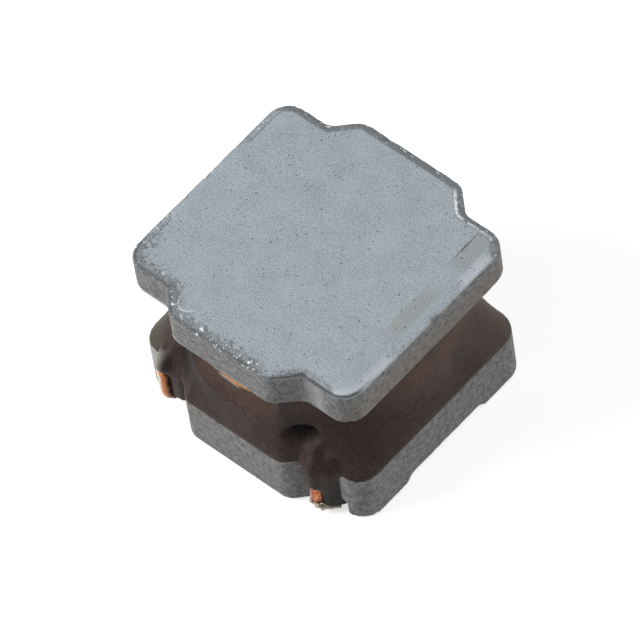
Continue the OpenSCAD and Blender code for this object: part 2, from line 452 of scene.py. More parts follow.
ferrite = {
    "ground": linear(163, 172, 180),
    "groundDark": linear(130, 139, 146),
    "groundRough": linear(148, 151, 147),
    "groundPaintedSheen": linear(196, 201, 207),
    "groundShade": linear(112, 119, 124),
    "pressed": linear(134, 133, 131),
    "pressedBrown": linear(110, 97, 86),
    "paintedCornerHighlight": linear(160, 160, 160),
    "pressedDark": linear(70, 71, 70),
    "line": linear(84, 88, 92),
    "wearAndGlint": linear(236, 239, 242),
    "pit": linear(58, 61, 64),
    "groundRoughness": 0.5,
    "pressedRoughness": 0.68,
    "roughBand": 0.62,
    "bumpDepth": 0.007 * mm,
}

# places of the marks on the core in millimetres, as the arguments of remapValue, spanBetween or bandAround
marks = {
    "frontY": (-1.6, -2.1),
    "rearY": (2.0, 2.3),
    "rightX": (2.3, 2.6),
    "rightY": (2.2, 1.9),
    "highZ": (topZ / mm - 0.09, topZ / mm - 0.05),
    "cleanStepX": (0.9, 1.3),
    "bandEndX": (halfWidth / mm - 0.22, halfWidth / mm - 0.3),
    "bandLineY": (2.3, 2.1, 0, 0.35),
    "rearPatchY": (1.35, 2.6, 0.12),
    "middlePatchY": (-0.75, 0.8, 0.3),
    "brownX": (2.7, 2.95),
    "brownZ": (upperZ / mm - 0.05, upperZ / mm + 0.5, 0.04),
    "cornerHighlightX": (1.95, 2.45, 0.25),
    "cornerHighlightY": (-2.3, -2.45, 0, 0.6),
    "cornerHighlightZ": (upperZ / mm - 0.05, upperZ / mm + 0.1),
    "bevelY": (-1.9, -1.2, 0.8, 1.0),
    "scratchY": (1.9, 0.5),
    "dottedX": (-1.9, -2.4),
    "dottedY": (-1.0, -1.6),
    "blotchX": (-1.6, 0.42),
    "blotchY": (-2.5, 0.4),
    "lowEdgeX": (-1.1, -1.35),
    "lowEdgeY": (-2.4, -2.5),
    "lowEdgeZ": (upperZ / mm + 0.01, 0.12),
    "stepEdgeX": (-1.95, -1.4, 0.06),
    "stepEdgeY": (-2.52, -2.6),
    "stepEdgeZ": (upperZ / mm + 0.12, 0.2),
    "scuffedX": (1.2, 1.4),
    "scuffedY": (2.2, 2.4),
    "paleX": (-2.1, -2.2),
    "paleY": (-2.2, -2.4, 0, 0.28),
    "paleZ": (upperZ / mm - 0.1, upperZ / mm - 0.2),
    "curveCentre": (-1.17, -2.54),
    "curveBand": (0.2, 0.016),
    "curveY": (-2.56, -2.66, 0, 0.6),
}


def rimDistance(axes):
    # how far a point lies in from the flange's outline, in millimetres
    x, y = mathValue("ABSOLUTE", axes[0]), mathValue("ABSOLUTE", axes[1])
    corner = core["cornerRadius"] / mm
    overX = minus(x, halfWidth / mm - corner)
    overY = minus(y, cornerY / mm - corner)
    around = lengthOf(most(overX, 0.0), most(overY, 0.0))
    within = mathValue("MINIMUM", most(overX, overY), 0.0)
    slab = minus(corner, plus(around, within))
    slant = minus((core["middleWidth"] / 2 + halfWidth) / mm, plus(x, y))
    proud = mathValue("MINIMUM", minus(halfWidth / mm, y), times(slant, math.sqrt(0.5)))
    return most(slab, proud)


def cellDistance(place, scale):
    tree = place.id_data
    cells = addNode(tree, "ShaderNodeTexVoronoi", feature="F1")
    cells.inputs["Scale"].default_value = scale
    tree.links.new(place, cells.inputs["Vector"])
    return cells.outputs["Distance"]


def sharedZones(tree):
    # the noises and the zones that the layers of the ferrite's finish have in common
    place = scaledCoordinates(tree)
    x, y, z = splitAxes(place)
    zones = SimpleNamespace(place=place, x=x, y=y, z=z, rim=rimDistance((x, y, z)))
    zones.fine = noiseValue(place, 30, 4, 0.75)
    zones.coarse = noiseValue(place, 7, 5, 0.65)
    zones.soft = noiseValue(place, 1.6, 4, 0.6)
    zones.speckle = weighted(zones.coarse, zones.fine, 0.4)
    zones.front = remapValue(y, *marks["frontY"])
    zones.rear = remapValue(y, *marks["rearY"])
    zones.side = times(remapValue(x, *marks["rightX"]), remapValue(y, *marks["rightY"]))
    zones.high = remapValue(z, *marks["highZ"])
    # the near step keeps a clean, smooth bevel, without the painted shade of the front bevel
    zones.clean = times(zones.front, remapValue(x, *marks["cleanStepX"]))
    zones.wobble = times(minus(zones.coarse, 0.5), 0.08)
    zones.unevenRim = plus(zones.rim, zones.wobble)
    grains = minus(noiseValue(place, 9, 4, 0.75), 0.44)
    grains = most(times(grains, 0.75, minus(1.0, zones.clean)), 0.0)
    zones.wornRim = minus(zones.unevenRim, times(zones.front, grains))
    zones.bandEdge = plus(x, times(zones.wobble, 1.5))
    zones.bandStart = halfWidth / mm - ferrite["roughBand"]
    return zones


def groundFinish(zones):
    # ground upper face: nearly even, with fine grains, a rougher band near the right edge, and a painted
    # sheen along that edge
    cloudy = weighted(zones.soft, zones.fine, 0.16)
    grainy = remapValue(cloudy, 0.43, 0.555)
    colour = mixColour(grainy, ferrite["groundDark"], ferrite["ground"])
    band = times(remapValue(zones.bandEdge, zones.bandStart, zones.bandStart + 0.04),
                 remapValue(zones.bandEdge, *marks["bandEndX"]))
    along = plus(zones.y, times(zones.wobble, 3))
    patches = most(spanBetween(along, *marks["rearPatchY"]), spanBetween(along, *marks["middlePatchY"]))
    patches = times(band, plus(times(patches, 0.8), 0.1))
    rough = mixColour(remapValue(cloudy, 0.42, 0.56), ferrite["groundDark"], ferrite["groundRough"])
    colour = mixColour(patches, colour, rough)
    bandLine = times(bandAround(zones.bandEdge, zones.bandStart, 0.025),
                     remapValue(zones.y, *marks["bandLineY"]))
    colour = mixColour(bandLine, colour, ferrite["groundDark"])
    # painted sheen: a lighter strip along the right edge stands for light reflected there
    paintedEdgeSheen = times(zones.side, remapValue(zones.unevenRim, 0.26, 0.12), 0.6)
    return mixColour(paintedEdgeSheen, colour, ferrite["groundPaintedSheen"])


def pressedFinish(zones):
    # pressed sides: a strong speckle, brown on the right, and a painted highlight on the rounding of the near
    # corner
    speckled = remapValue(zones.speckle, 0.44, 0.56)
    colour = mixColour(speckled, ferrite["pressedDark"], ferrite["pressed"])
    brown = times(remapValue(zones.x, *marks["brownX"]), spanBetween(zones.z, *marks["brownZ"]),
                  remapValue(zones.coarse, 0.4, 0.6, 0.1, 0.5))
    colour = mixColour(brown, colour, ferrite["pressedBrown"])
    # painted highlight: a smooth light patch low on the near corner's front face
    paintedCornerHighlight = times(spanBetween(zones.x, *marks["cornerHighlightX"]),
                   remapValue(zones.y, *marks["cornerHighlightY"]), remapValue(zones.z, *marks["cornerHighlightZ"]))
    return mixColour(paintedCornerHighlight, colour, ferrite["paintedCornerHighlight"])


def bevelFinish(zones, pressed, ground):
    # the bevel is smoother and lighter than the sides, with painted shade on its front and rear parts
    bevel = times(zones.high, remapValue(zones.speckle, 0.42, 0.52, 0.35, 0.9),
                  remapValue(zones.y, *marks["bevelY"]))
    bevel = most(bevel, times(zones.side, zones.high))
    # painted shade: the ground colour of the bevel darkens towards the front and the rear
    paintedBevelShade = minus(most(times(zones.front, 0.75), zones.rear), zones.clean)
    return mixColour(bevel, pressed, mixColour(paintedBevelShade, ground, ferrite["groundShade"]))


def edgeLines(zones):
    # dark lines on the inner side of the bevel, with a scratch, and on its outer side
    inner = times(bandAround(zones.wornRim, core["bevelWidth"] / mm, 0.03), zones.high,
                  remapValue(zones.coarse, 0.4, 0.55, 0.1, 0.7),
                  minus(1.0, most(zones.side, times(zones.front, 0.6))))
    scratch = times(zones.high, bandAround(zones.bandEdge, zones.bandStart - 0.01, 0.03),
                    bandAround(zones.y, *marks["scratchY"]))
    outer = times(zones.front, zones.high, bandAround(zones.unevenRim, 0.05, 0.07),
                  most(remapValue(zones.coarse, 0.4, 0.52, 0.3, 0.9), zones.clean))
    return most(inner, scratch), outer


def pitMask(zones):
    pit = times(remapValue(cellDistance(zones.place, 4.2), 0.13, 0.05), remapValue(zones.coarse, 0.47, 0.53))
    dot = times(remapValue(cellDistance(zones.place, 7.5), 0.16, 0.06),
                remapValue(noiseValue(zones.place, 2.6, 3, 0.6), 0.44, 0.54))
    # a dotted rim at the front left corner and a dark blotch over the front left step
    dotted = times(spanBetween(zones.rim, 0.04, 0.5, 0.12),
                   remapValue(noiseValue(zones.place, 13, 3, 0.7), 0.54, 0.6, 0, 0.7), zones.high,
                   remapValue(zones.x, *marks["dottedX"]), remapValue(zones.y, *marks["dottedY"]))
    blotch = times(zones.high, remapValue(zones.coarse, 0.38, 0.56, 0, 0.5),
                   bandAround(zones.x, *marks["blotchX"]), bandAround(zones.y, *marks["blotchY"]))
    return most(pit, dot, dotted, blotch)


def wearAndGlintMask(zones, edge):
    # bright grains along the edges: partly edge wear, partly painted glints
    frontEdge = times(zones.front, bandAround(zones.rim, 0.13, 0.16))
    outerEdge = times(zones.high, most(remapValue(zones.rim, 0.2, 0.06), frontEdge))
    grains = times(most(times(edge, 0.6), outerEdge),
                   remapValue(noiseValue(zones.place, 10, 3, 0.7), 0.6, 0.65),
                   minus(1.0, zones.clean), minus(1.0, times(zones.side, 0.8)))
    # painted highlights along the lower edges of the front left step
    lowEdgeHighlight = times(remapValue(zones.x, *marks["lowEdgeX"]),
                    remapValue(zones.y, *marks["lowEdgeY"]), bandAround(zones.z, *marks["lowEdgeZ"]))
    stepEdgeHighlight = times(spanBetween(zones.x, *marks["stepEdgeX"]),
                     remapValue(zones.y, *marks["stepEdgeY"]),
                     bandAround(zones.z, *marks["stepEdgeZ"]))
    # a scuffed step at the right rear
    scuffed = times(zones.high, bandAround(zones.unevenRim, 0.16, 0.05),
                    remapValue(zones.x, *marks["scuffedX"]), remapValue(zones.y, *marks["scuffedY"]),
                    remapValue(zones.coarse, 0.42, 0.52))
    # painted highlight: the lower flange's front left corner is pale beside the wire
    paleHighlight = times(remapValue(zones.x, *marks["paleX"]), remapValue(zones.y, *marks["paleY"]),
                 remapValue(zones.z, *marks["paleZ"]))
    # a curved scratch over the front left step
    centreX, centreY = marks["curveCentre"]
    away = lengthOf(minus(zones.x, centreX), minus(zones.y, centreY))
    curve = times(bandAround(away, *marks["curveBand"]), zones.high, remapValue(zones.y, *marks["curveY"]))
    return most(grains, lowEdgeHighlight, stepEdgeHighlight, scuffed, paleHighlight, curve)


def ferriteMaterial():
    material, tree, shader = newMaterial("ferrite")
    zones = sharedZones(tree)
    wear = addNode(tree, "ShaderNodeAttribute", attribute_name="wear")
    wearParts = addNode(tree, "ShaderNodeSeparateColor")
    tree.links.new(wear.outputs["Color"], wearParts.inputs[0])
    edge, chipped = wearParts.outputs[0], wearParts.outputs[1]
    bevel = core["bevelWidth"] / mm
    ground = times(zones.high, remapValue(zones.wornRim, bevel - 0.03, bevel + 0.01))
    groundColour = groundFinish(zones)
    colour = bevelFinish(zones, pressedFinish(zones), groundColour)
    colour = mixColour(ground, colour, groundColour)
    innerLine, outerLine = edgeLines(zones)
    colour = mixColour(innerLine, colour, ferrite["line"])
    colour = mixColour(outerLine, colour, ferrite["pit"])
    pits = pitMask(zones)
    colour = mixColour(times(most(pits, chipped), 0.75), colour, ferrite["pit"])
    # bright edge marks: wear and a scratch, with painted glints and painted highlights
    colour = mixColour(times(wearAndGlintMask(zones, edge), 0.9), colour, ferrite["wearAndGlint"])
    tree.links.new(colour, shader.inputs["Base Color"])
    roughness = mixValue(ground, ferrite["pressedRoughness"], ferrite["groundRoughness"])
    tree.links.new(roughness, shader.inputs["Roughness"])
    height = minus(plus(zones.fine, times(zones.coarse, 0.6)), plus(times(pits, 2.0), innerLine))
    bumpFrom(shader, height, ferrite["bumpDepth"], 0.7)
    return material


# winding

wire = {
    "diameter": 0.33 * mm,
    "gap": 0.014 * mm,
    "layers": 4,
    "climbAngle": 40,
    "startX": 1.89 * mm,
    "finishX": 2.15 * mm,
    "startBend": 0.2 * mm,
    "finishBend": 0.45 * mm,
    "tailLength": 3.7 * mm,
    "stepsPerTurn": 36,
}
wireRadius = wire["diameter"] / 2
pitch = wire["diameter"] + wire["gap"]
seat = wireRadius + wire["gap"]
layerTurns = int((upperZ - lowerZ - 2 * wire["gap"] - wire["diameter"]) / pitch)
coilLow = lowerZ + seat
coilHigh = coilLow + layerTurns * pitch
coilInner = core["postRadius"] + seat
coilOuter = coilInner + (wire["layers"] - 1) * pitch
coilSkin = coilOuter + wireRadius
leadY = cornerY + seat


def bendAround(before, corner, after, radius, steps=6):
    # arc of the given radius that rounds a corner of the path
    u = (before - corner).normalized()
    v = (after - corner).normalized()
    half = u.angle(v) / 2
    centre = corner + (u + v).normalized() * radius / math.sin(half)
    first = (corner + u * radius / math.tan(half) - centre).normalized()
    last = (corner + v * radius / math.tan(half) - centre).normalized()
    return [centre + radius * first.slerp(last, i / steps) for i in range(steps + 1)]


def leadPath(tangentX, tangentZ, x, lowRadius):
    start = Vector((tangentX, 0, tangentZ))
    top = Vector((x, -leadY, coilLow))
    low = Vector((x, -leadY, core["grooveDepth"] - core["plating"] - seat))
    tail = Vector((x, wire["tailLength"] - leadY, core["grooveDepth"] - core["plating"] - seat))
    bendRadius = seat + wire["gap"]
    return [start, *bendAround(start, top, low, bendRadius), *bendAround(top, low, tail, lowRadius), tail]


def coilPath():
    points = []
    angle = 0.0
    step = 360 / wire["stepsPerTurn"]
    for layer in range(wire["layers"]):
        last = layer == wire["layers"] - 1
        turns = layerTurns if layer == 0 else layerTurns - 1
        radius = coilInner + layer * pitch
        startZ = coilLow if layer == 0 else coilHigh if layer % 2 else coilLow + pitch
        rise = -pitch if layer % 2 else pitch
        wound = turns * 360
        if last:
            wound += (180 - (angle + wound) % 360) % 360
        climb = 0 if last else wire["climbAngle"]
        turned = 0.0
        while turned < wound + climb - 0.5:
            climbed = max(turned - wound, 0) / wire["climbAngle"]
            at = math.radians(angle + turned)
            r = radius + climbed * pitch
            z = startZ + rise * min(turned, wound) / 360
            points.append(Vector((r * math.cos(at), r * math.sin(at), z)))
            turned += step
        angle += wound + climb
    finishZ = startZ + rise * wound / 360
    return points, finishZ


def tubeAlong(name, path, radius, resolution=4):
    curve = bpy.data.curves.new(name, "CURVE")
    curve.dimensions = "3D"
    curve.bevel_depth = radius
    curve.bevel_resolution = resolution
    curve.use_fill_caps = True
    line = curve.splines.new("POLY")
    line.points.add(len(path) - 1)
    for point, place in zip(line.points, path):
        point.co = (*place, 1)
    tube = bpy.data.objects.new(name, curve)
    bpy.context.collection.objects.link(tube)
    makeActive(tube)
    bpy.ops.object.convert(target="MESH")
    return bpy.context.object


coil, finishZ = coilPath()
startLead = leadPath(coilInner, coilLow, wire["startX"], wire["startBend"])
finishLead = leadPath(-coilOuter, finishZ, -wire["finishX"], wire["finishBend"])


def makeWinding():
    path = startLead[::-1] + coil[1:] + finishLead
    obj = tubeAlong("winding", path, wireRadius)
    dress(obj, copperMaterial())
    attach(obj, "root")
    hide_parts("winding")
    print("winding:", len(obj.data.polygons), "faces")


copper = {
    "bright": linear(208, 134, 68),
    "dark": linear(150, 82, 36),
    "wireHighlight": linear(206, 204, 190),
    "stainAndShade": linear(66, 40, 30),
    "tarnished": linear(134, 52, 30),
    "roughness": 0.26,
    "coatRoughness": 0.15,
    "startHighlightEdge": -0.06,
    "finishHighlightEdge": 0.03,
    "stainAndShadeEdge": (0.08, 0.15),
    "bumpDepth": 0.004 * mm,
}


def copperMaterial():
    material, tree, shader = newMaterial("enamelledCopper")
    place = scaledCoordinates(tree)
    patchy = noiseValue(place, 5, 3, 0.6)
    colour = mixColour(remapValue(patchy, 0.35, 0.65), copper["dark"], copper["bright"])
    # each end gets a painted highlight on its left; the start is tarnished, and the finish is darkened on its
    # right, partly a resin stain, partly painted shade
    x, y, z = splitAxes(place)
    ends = remapValue(y, -2.5, -2.6)
    ragged = times(minus(patchy, 0.5), 0.2)
    for leadX, highlightEdge in ((wire["startX"] / mm, copper["startHighlightEdge"]),
                           (-wire["finishX"] / mm, copper["finishHighlightEdge"])):
        across = plus(minus(x, leadX), ragged)
        near = times(ends, bandAround(x, leadX, 0.7))
        # painted highlight on the left flank of the wire end
        wireHighlight = times(near, remapValue(across, highlightEdge, highlightEdge - 0.05))
        colour = mixColour(wireHighlight, colour, copper["wireHighlight"])
        if leadX > 0:
            red = remapValue(noiseValue(place, 9, 3, 0.6), 0.47, 0.56)
            colour = mixColour(times(near, red), colour, copper["tarnished"])
            continue
        # dark right flank: partly a resin stain, partly painted shade
        stainAndShade = times(near, remapValue(across, *copper["stainAndShadeEdge"]))
        colour = mixColour(stainAndShade, colour, copper["stainAndShade"])
    tree.links.new(colour, shader.inputs["Base Color"])
    tree.links.new(mixValue(stainAndShade, 0.8, 0.0), shader.inputs["Metallic"])
    tree.links.new(mixValue(stainAndShade, 0.15, 0.02), shader.inputs["Specular IOR Level"])
    tree.links.new(mixValue(stainAndShade, 0.1, 0.0), shader.inputs["Coat Weight"])
    shader.inputs["Roughness"].default_value = copper["roughness"]
    shader.inputs["Coat Roughness"].default_value = copper["coatRoughness"]
    bumpFrom(shader, noiseValue(place, 18, 3, 0.6), copper["bumpDepth"], 0.5)
    return material


# resin

resin = {
    "topThickness": 0.13 * mm,
    "flare": 2.2,
    "coat": 0.06 * mm,
    "startCoatEnd": 0.76 * mm,
    "finishCoatEnd": 1.4 * mm,
    "startPlugEnd": 0.16 * mm,
    "finishPlugEnd": 0.45 * mm,
    "rings": 14,
    "sides": 160,
    "voxel": 0.036 * mm,
    "skirt": 0.12 * mm,
    "windowAngle": -93,
    "windowWidth": 26,
    "windowDepth": 0.77 * mm,
    "windowFade": 0.6 * mm,
    "bareDepth": 0.2 * mm,
    "lipHighlightGain": 0.35,
    "pitCentre": (1.6, -2.42, 2.04),
    "pitReach": (0.36, 0.5, 0.34),
    "pitFade": (0.62, 0.5, 0.36),
    "pitDepth": 0.37 * mm,
    "pitSkin": 0.012 * mm,
    "drapeRise": 0.5 * mm,
    "drapeRadius": 0.2 * mm,
    "blendTurns": 50,
    "unevenness": 0.012 * mm,
}


def outlineReach(angle):
    # distance from the middle to the flange's outline
    c, s = abs(math.cos(angle)), abs(math.sin(angle))
    reach = min(halfWidth / max(c, 1e-6), cornerY / max(s, 1e-6))
    centreX, centreY = halfWidth - core["cornerRadius"], cornerY - core["cornerRadius"]
    if reach * c > centreX and reach * s > centreY:  # on the rounded corner
        along = c * centreX + s * centreY
        reach = along + math.sqrt(along ** 2 - centreX ** 2 - centreY ** 2 + core["cornerRadius"] ** 2)
    proud = min(halfWidth / max(s, 1e-6), (core["middleWidth"] / 2 + halfWidth) / (c + s))
    return max(reach, proud) if s > 0.5 else reach


def makeFlare():
    height = upperZ - lowerZ
    deselectAll()
    bpy.ops.mesh.primitive_cylinder_add(
        vertices=resin["sides"], radius=coilSkin, depth=height + resin["skirt"],
        location=(0, 0, (upperZ + lowerZ - resin["skirt"]) / 2))
    flare = bpy.context.object
    applyPlace(flare)
    for ring in range(resin["rings"]):
        editMode()
        bpy.ops.object.mode_set(mode="EDIT")
        bpy.ops.mesh.select_all(action="SELECT")
        bpy.ops.mesh.bisect(plane_co=(0, 0, lowerZ + ring * height / resin["rings"]), plane_no=(0, 0, 1))
    backToObject()
    for vertex in flare.data.vertices:
        angle = math.atan2(vertex.co.y, vertex.co.x)
        t = min(max((vertex.co.z - lowerZ) / height, 0), 1)
        inward = 1 - (1 - t) ** resin["flare"]
        outside = outlineReach(angle) - 0.002 * mm
        reach = outside + (coilSkin + resin["topThickness"] - outside) * inward
        vertex.co.x, vertex.co.y = reach * math.cos(angle), reach * math.sin(angle)
    return flare


def makePlug(side, x, outer, end, depth):
    # resin that fills a corner notch between the step and the wire
    front = -leadY - depth
    plug = addBox("plug", (stepX - 0.35 * mm, front, end), (outer, -cornerY + 0.1 * mm, lowerZ + 0.1 * mm))
    pickFaces(plug, lambda c, n: n.y < -0.99)
    bpy.ops.transform.resize(value=(0.5, 1, 1), center_override=(x, 0, 0))
    backToObject()
    if side < 0:
        plug.scale.x = -1
        applyPlace(plug)
        pickFaces(plug, lambda c, n: True)
        bpy.ops.mesh.normals_make_consistent(inside=False)
        backToObject()
    return plug


def blendLeads(obj):
    # softens the resin where it runs over the wire ends, and leaves the rest sharp
    group = obj.vertex_groups.new(name="leads")
    for vertex in obj.data.vertices:
        place = vertex.co
        leadX = wire["startX"] if place.x > 0 else -wire["finishX"]
        near = smoothStep(1.0 * mm, 0.45 * mm, math.hypot(place.x - leadX, 0.7 * (place.y + leadY)))
        if near > 0 and place.z < lowerZ + 1.0 * mm:
            group.add([vertex.index], near, "REPLACE")
    soften = obj.modifiers.new("blend", "SMOOTH")
    soften.factor = 0.5
    soften.iterations = resin["blendTurns"]
    soften.vertex_group = "leads"
    applyAll(obj)


def shapeResin(obj):
    # the bare patch over the winding, the pit, and an uneven poured surface
    pitCentre, pitSkin = Vector(resin["pitCentre"]), coilSkin + resin["pitSkin"]
    pitOut = Vector((pitCentre.x, pitCentre.y, 0)).normalized()
    pitAlong = Vector((-pitOut.y, pitOut.x, 0))
    pitPush = (pitOut + Vector((0, 0, 0.2))) * resin["pitDepth"]
    # masks for a painted highlight on the lip of the bare patch and painted shade in the pit
    paintedLipHighlight = obj.data.attributes.new("paintedLipHighlight", "FLOAT", "POINT")
    paintedPitShade = obj.data.attributes.new("paintedPitShade", "FLOAT", "POINT")
    newPlaces = []
    for vertex in obj.data.vertices:
        place, normal = vertex.co.copy(), vertex.normal.copy()
        radius = math.hypot(place.x, place.y)
        spread = abs(math.degrees(math.atan2(place.y, place.x)) - resin["windowAngle"]) / resin["windowWidth"]
        if spread < 1.5 and radius > coilSkin - 0.3 * mm:
            edge = upperZ - resin["windowDepth"] * math.sqrt(max(1 - spread ** 2, 0))
            thin = smoothStep(edge - resin["windowFade"], edge - 0.02 * mm, place.z)
            thin *= smoothStep(1.5, 0.9, spread)
            bare = 0.0
            if spread < 1:
                bare = smoothStep(edge - 0.01 * mm, edge + 0.04 * mm, place.z)
                lit = smoothStep(0.035 * mm, 0.005 * mm, abs(place.z - edge))
                lit *= smoothStep(0.3 * mm, -0.1 * mm, place.x)
                paintedLipHighlight.data[vertex.index].value = resin["lipHighlightGain"] * lit
            pulled = radius - thin * max(radius - coilSkin - 0.004 * mm, 0) - bare * resin["bareDepth"]
            place = Vector((place.x * pulled / radius, place.y * pulled / radius, place.z))
        offset = place / mm - pitCentre
        shares = (offset.dot(pitAlong), offset.dot(pitOut), offset.z)
        reaches = resin["pitReach"] if shares[0] > 0 else resin["pitFade"]
        gap = math.sqrt(sum((share / reach) ** 2 for share, reach in zip(shares, reaches)))
        paintedPitShade.data[vertex.index].value = smoothStep(0.15, 0.75, 1 - gap)
        if gap < 1:
            place -= pitPush * smoothStep(0, 1, 1 - gap)
            inside = math.hypot(place.x, place.y)
            if inside < pitSkin:
                place = Vector((place.x * pitSkin / inside, place.y * pitSkin / inside, place.z))
        uneven = noise.fractal(place / mm * 1.6, 1.0, 2.0, 3) * resin["unevenness"]
        if place.z > lowerZ + 0.05 * mm:
            place += normal * min(uneven, 0.0)
        newPlaces.append(place)
    for vertex, place in zip(obj.data.vertices, newPlaces):
        vertex.co = place


def makeResin():
    parts = [makeFlare()]
    rise = resin["drapeRise"]
    for lead, end, radius in ((startLead, resin["startCoatEnd"], resin["drapeRadius"]),
                              (finishLead, resin["finishCoatEnd"], 0.65 * resin["drapeRadius"])):
        # the coat follows the wire end; the drape and the filler join it to the flare
        x = lead[7].x
        coat = resin["coat"] if x > 0 else 0.8 * resin["coat"]
        parts.append(tubeAlong("coat", lead[:8] + [Vector((x, -leadY, end))], wireRadius + coat))
        left = x - (0.09 * mm if x > 0 else 0)
        drape = [Vector((0.86 * x, -0.72 * leadY, coilLow + rise)),
                 Vector((0.96 * left, -0.88 * leadY, coilLow + 0.5 * rise)),
                 Vector((left, -0.97 * leadY, coilLow - 0.05 * mm)),
                 Vector((left, -0.99 * leadY, end + 0.1 * mm))]
        parts.append(tubeAlong("drape", drape, radius))
        beside = x + 0.27 * mm
        filler = [Vector((beside, -0.72 * leadY, coilLow + 0.5 * rise)),
                  Vector((beside, -0.9 * leadY, coilLow)),
                  Vector((beside, -0.94 * leadY, lowerZ - 0.35 * mm))]
        parts.append(tubeAlong("filler", filler, resin["drapeRadius"]))
    parts.append(makePlug(1, wire["startX"] + 0.1 * mm, 2.46 * mm, resin["startPlugEnd"], 0.05 * mm))
    parts.append(makePlug(-1, wire["finishX"] - 0.15 * mm, 2.12 * mm, resin["finishPlugEnd"], 0.04 * mm))
    obj = joinAll("resinFill", parts)
    fuse(obj, resin["voxel"], 2)
    blendLeads(obj)
    shapeResin(obj)
    dress(obj, resinMaterial())
    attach(obj, "root")
    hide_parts("resin_fill")
    print("resin:", len(obj.data.polygons), "faces")


resinFinish = {
    "light": linear(70, 56, 51),
    "dark": linear(38, 29, 27),
    "thin": linear(100, 66, 50),
    "paintedShade": linear(26, 19, 18),
    "paintedPitShade": linear(13, 9, 9),
    "far": linear(100, 88, 82),
    "film": linear(76, 72, 61),
    "paleHighlight": linear(150, 150, 138),
    "flux": linear(24, 21, 15),
    "paintedLipHighlight": linear(232, 226, 218),
    "roughness": 0.5,
    "gloss": 0.12,
    "bumpDepth": 0.012 * mm,
}


def resinMaterial():
    material, tree, shader = newMaterial("magneticResin")
    place = scaledCoordinates(tree)
    fine = noiseValue(place, 22, 4, 0.65)
    soft = noiseValue(place, 1.3, 4, 0.6)
    mixed = weighted(soft, fine, 0.35)
    colour = mixColour(remapValue(mixed, 0.42, 0.58), resinFinish["dark"], resinFinish["light"])
    # where the resin is thin over the winding, its copper tints it
    x, y, z = splitAxes(place)
    thin = times(remapValue(z, 2.0, 3.3, 0, 0.5), remapValue(soft, 0.35, 0.6))
    colour = mixColour(thin, colour, resinFinish["thin"])
    # painted light at the far end of the right side, and painted shade in the front hollow and round the near
    # corner
    farEnd = times(remapValue(y, 0.6, 2.2, 0, 0.4), remapValue(x, 1.5, 2.2))
    colour = mixColour(farEnd, colour, resinFinish["far"])
    frontShade = times(spanBetween(x, -2.1, -0.9, 0.35), remapValue(y, -1.8, -2.2, 0, 0.85),
                       remapValue(z, 1.3, 1.9))
    cornerShade = times(remapValue(minus(x, y), 3.2, 4.3, 0, 0.4), remapValue(z, 1.3, 1.7))
    colour = mixColour(most(frontShade, cornerShade), colour, resinFinish["paintedShade"])
    # a paler film over the front left corner of the lower flange, and a painted highlight beside the wire
    film = times(remapValue(x, -2.3, -2.6), remapValue(y, -1.5, -2.0), remapValue(z, 2.2, 1.5, 0, 0.8))
    colour = mixColour(film, colour, resinFinish["film"])
    paleHighlight = times(remapValue(x, -2.06, -2.24, 0, 0.9), remapValue(y, -2.5, -2.6), remapValue(z, 1.9, 1.6))
    colour = mixColour(paleHighlight, colour, resinFinish["paleHighlight"])
    # dark flux over the resin at the foot of the wire's start
    height = plus(remapValue(z, 1.45, 0.65, 0, 0.9), times(minus(soft, 0.5), 0.5))
    flux = times(remapValue(x, 1.7, 1.95), height, remapValue(y, -2.3, -2.5))
    colour = mixColour(flux, colour, resinFinish["flux"])
    # painted shade darkens the pit, and a painted highlight lights the lip of the bare patch
    colour = mixColour(attributeValue(tree, "paintedPitShade"), colour, resinFinish["paintedPitShade"])
    colour = mixColour(attributeValue(tree, "paintedLipHighlight"), colour, resinFinish["paintedLipHighlight"])
    tree.links.new(colour, shader.inputs["Base Color"])
    shader.inputs["Roughness"].default_value = resinFinish["roughness"]
    shader.inputs["Specular IOR Level"].default_value = resinFinish["gloss"]
    bumpFrom(shader, fine, resinFinish["bumpDepth"], 0.7)
    return material


# solder around the wire tails

solder = {
    "collar": 0.035 * mm,
    "collarReach": 0.1 * mm,
    "voxel": 0.03 * mm,
    "smoothTurns": 6,
    "unevenness": 0.02 * mm,
    "light": linear(196, 197, 198),
    "dark": linear(150, 151, 153),
    "roughness": 0.3,
}


def makeSolder():
    finish = tinMaterial("solder", solder["light"], solder["dark"], solder["roughness"], 3)
    for node, x in (("solder_left", -wire["finishX"]), ("solder_right", wire["startX"])):
        low, high = (Vector(corner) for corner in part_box(node))
        block = addBox("block", low, high)
        tailZ = core["grooveDepth"] - core["plating"] - seat
        line = [Vector((x, low.y - solder["collarReach"], tailZ)), Vector((x, 0, tailZ))]
        collar = tubeAlong("collar", line, wireRadius + solder["collar"])
        obj = joinAll(node.replace("_l", "L").replace("_r", "R"), [block, collar])
        fuse(obj, solder["voxel"], solder["smoothTurns"])
        normals = [vertex.normal.copy() for vertex in obj.data.vertices]
        for vertex, normal in zip(obj.data.vertices, normals):
            uneven = min(noise.fractal(vertex.co / mm * 1.4, 1.0, 2.0, 2), 0)
            vertex.co = vertex.co + normal * uneven * solder["unevenness"]
            vertex.co.z = max(vertex.co.z, 0.002 * mm)
        dress(obj, finish)
        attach(obj, "root")
        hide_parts(node)
        print(obj.name, len(obj.data.polygons), "faces")


# flux residue at the foot of the wire's start

residue = {
    "count": 44,
    "path": ((1.78, -2.79, 0.27), (2.0, -2.78, 0.2), (2.3, -2.54, 0.13)),
    "scatter": 0.04 * mm,
    "size": (0.03 * mm, 0.055 * mm),
    "voxel": 0.014 * mm,
    "unevenness": 0.012 * mm,
    "seed": 5,
    "light": linear(226, 220, 202),
    "dark": linear(120, 108, 84),
    "roughness": 0.35,
}


